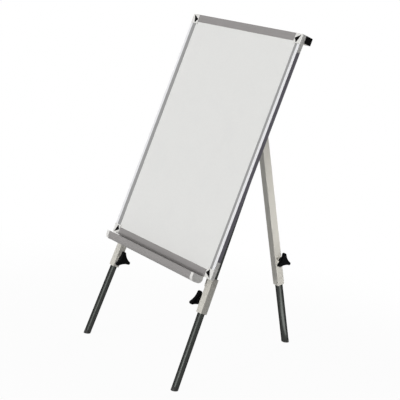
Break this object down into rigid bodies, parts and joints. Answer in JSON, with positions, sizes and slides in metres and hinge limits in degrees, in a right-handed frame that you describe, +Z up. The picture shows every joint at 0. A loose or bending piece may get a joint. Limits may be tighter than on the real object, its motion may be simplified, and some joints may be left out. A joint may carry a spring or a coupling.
{
  "type": "flipchart easel",
  "caption": "Floor-standing easel with a framed dry-wipe board, a pen tray, sliding front legs and a folding rear leg, each locked by a hand knob.",
  "frame": {"origin": "on the floor, under the middle of the rest pose's bounding box", "axes": "+X to the reader's right across the board, -Y out of the writing surface towards the reader, +Z up"},
  "size_m": [0.71, 0.8896, 1.4075],
  "materials": {
    "white_enamel": "dry-wipe enamel on steel sheet, satin gloss",
    "fibreboard": "raw fibreboard",
    "mill_aluminium": "mill finish sheet",
    "brushed_aluminium": "brushed and anodised extrusion",
    "pale_plastic": "moulded plastic, satin",
    "black_plastic": "moulded plastic, fine grain",
    "cream_paint": "powder coat on steel tube, satin",
    "dark_grey_paint": "dark grey paint on steel tube, satin",
    "black_rubber": "moulded rubber",
    "zinc_plate": "zinc plated steel"
  },
  "bodies": {
    "board": {"writing_surface": "white_enamel", "panel_core": "fibreboard", "panel_back_sheet": "mill_aluminium", "top_rail": "brushed_aluminium", "bottom_rail": "brushed_aluminium", "left_rail": "brushed_aluminium", "right_rail": "brushed_aluminium", "corner_top_left": "pale_plastic", "corner_top_right": "pale_plastic", "corner_bottom_left": "pale_plastic", "corner_bottom_right": "pale_plastic", "corner_insert_top_left": "black_plastic", "corner_insert_top_right": "black_plastic", "corner_insert_bottom_left": "black_plastic", "corner_insert_bottom_right": "black_plastic", "pen_tray": "brushed_aluminium", "tray_cap_left": "pale_plastic", "tray_cap_right": "pale_plastic", "tray_screw_left": "zinc_plate", "tray_screw_right": "zinc_plate", "top_crossbar": "cream_paint", "crossbar_cap_left": "black_plastic", "crossbar_cap_right": "black_plastic", "crossbar_screw_left": "zinc_plate", "crossbar_screw_right": "zinc_plate", "hinge_bracket": "zinc_plate", "hinge_screw_left": "zinc_plate", "hinge_screw_right": "zinc_plate", "hinge_bolt": "zinc_plate", "hinge_nut": "zinc_plate", "leg_socket_left": "cream_paint", "leg_socket_right": "cream_paint", "socket_bracket_left": "cream_paint", "socket_bracket_right": "cream_paint", "bracket_screw_left_1": "zinc_plate", "bracket_screw_left_2": "zinc_plate", "bracket_screw_right_1": "zinc_plate", "bracket_screw_right_2": "zinc_plate", "clamp_boss_left": "cream_paint", "clamp_boss_right": "cream_paint"},
    "left_leg": {"front_tube_left": "dark_grey_paint", "front_tube_plug_left": "black_plastic", "foot_left": "black_rubber"},
    "right_leg": {"front_tube_right": "dark_grey_paint", "front_tube_plug_right": "black_plastic", "foot_right": "black_rubber"},
    "rear_leg": {"rear_upper_tube": "cream_paint", "hinge_block": "black_plastic", "clamp_boss_rear": "cream_paint"},
    "rear_extension": {"rear_lower_tube": "dark_grey_paint", "rear_tube_plug": "black_plastic", "foot_rear": "black_rubber"},
    "left_knob": {"clamp_knob_left": "black_plastic", "clamp_stud_left": "zinc_plate"},
    "right_knob": {"clamp_knob_right": "black_plastic", "clamp_stud_right": "zinc_plate"},
    "rear_knob": {"clamp_knob_rear": "black_plastic", "clamp_stud_rear": "zinc_plate"}
  },
  "joints": [
    {"name": "rear_leg_fold", "type": "hinge", "parent": "board", "child": "rear_leg", "pos_m": [0, -0.02427, 1.33771], "axis": [-1, 0, 0], "range_deg": [0, 34]},
    {"name": "left_leg_slide", "type": "slide", "parent": "board", "child": "left_leg", "axis": [-0.0372, -0.2771, -0.9601], "range_m": [-0.295, 0.63]},
    {"name": "right_leg_slide", "type": "slide", "parent": "board", "child": "right_leg", "axis": [0.0372, -0.2771, -0.9601], "range_m": [-0.295, 0.63]},
    {"name": "rear_leg_slide", "type": "slide", "parent": "rear_leg", "child": "rear_extension", "axis": [0, 0.3194, -0.9476], "range_m": [-0.279, 0.55]},
    {"name": "left_knob_turn", "type": "hinge", "parent": "board", "child": "left_knob", "pos_m": [-0.29485, -0.3308, 0.3417], "axis": [0.9993, -0.0103, -0.0357], "range_deg": [0, 360]},
    {"name": "right_knob_turn", "type": "hinge", "parent": "board", "child": "right_knob", "pos_m": [0.29485, -0.3308, 0.3417], "axis": [-0.9993, -0.0103, -0.0357], "range_deg": [0, 360]},
    {"name": "rear_knob_turn", "type": "hinge", "parent": "rear_leg", "child": "rear_knob", "pos_m": [0.0335, 0.29028, 0.40463], "axis": [1, 0, 0], "range_deg": [0, 360]}
  ]
}
